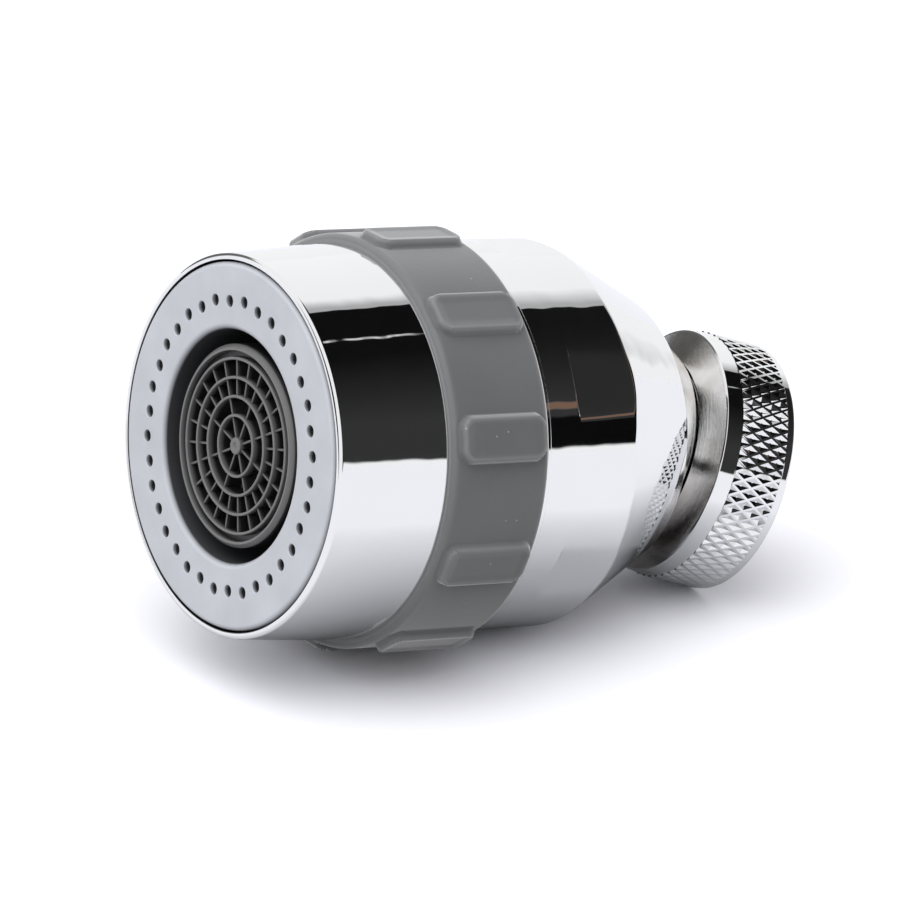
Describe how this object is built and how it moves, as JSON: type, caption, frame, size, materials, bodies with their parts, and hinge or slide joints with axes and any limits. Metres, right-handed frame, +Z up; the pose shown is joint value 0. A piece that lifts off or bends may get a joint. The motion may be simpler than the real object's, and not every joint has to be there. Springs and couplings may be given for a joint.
{
  "type": "tap aerator",
  "caption": "Swivel tap aerator: knurled nut on a ball joint, chromed head, rubber grip band and a spray face round an aerator grille.",
  "frame": {"origin": "middle of the bounding box's foot, where the part lies on a flat surface", "axes": "+Y along the part's length from the spray face to the inlet nut, +Z up, +X to the side that the nut leans to"},
  "size_m": [0.0426, 0.0672, 0.0444],
  "materials": {
    "chrome": "polished",
    "face_plastic": "satin",
    "insert_plastic": "satin",
    "grip_rubber": "matte",
    "seal_rubber": "matte",
    "inner_plastic": "satin",
    "stainless": "satin"
  },
  "bodies": {
    "head": {"rear_shell": "chrome", "ball_retainer": "inner_plastic", "ball_seal": "seal_rubber", "port_disc": "inner_plastic", "port_gasket": "seal_rubber", "pivot_screw": "stainless", "pivot_washer": "stainless", "body_seal": "seal_rubber"},
    "front": {"front_sleeve": "chrome", "grip_band": "grip_rubber", "face_plate": "face_plastic", "flow_divider": "inner_plastic", "divider_seal": "seal_rubber", "chamber_seal": "seal_rubber", "aerator_cup": "insert_plastic", "aerator_grille": "insert_plastic", "outlet_screen": "stainless", "inner_screen": "stainless", "jet_disc": "insert_plastic", "flow_limiter": "inner_plastic", "limiter_ring": "seal_rubber", "aerator_gasket": "seal_rubber"},
    "swivel_seat": {"slip_ring": "inner_plastic"},
    "stem": {"ball_stem": "chrome", "nut_clip": "stainless", "inlet_washer": "seal_rubber", "inlet_screen": "stainless"},
    "nut": {"inlet_nut": "chrome"}
  },
  "joints": [
    {"name": "mode_turn", "type": "hinge", "parent": "head", "child": "front", "pos_m": [0, -0.03086, 0.02501], "axis": [0, 0.9882, -0.1529], "range_deg": [0, 90]},
    {"name": "swivel_turn", "type": "hinge", "parent": "head", "child": "swivel_seat", "pos_m": [0, 0.01193, 0.01839], "axis": [0, 0.9882, -0.1529], "continuous": true},
    {"name": "swivel_tilt", "type": "hinge", "parent": "swivel_seat", "child": "stem", "pos_m": [0, 0.01193, 0.01839], "axis": [-0.757, -0.0999, -0.6457], "range_deg": [-36.2, 3.8]},
    {"name": "nut_spin", "type": "hinge", "parent": "stem", "child": "nut", "pos_m": [0, 0.01193, 0.01839], "axis": [0.1823, 0.9167, -0.3555], "continuous": true}
  ]
}
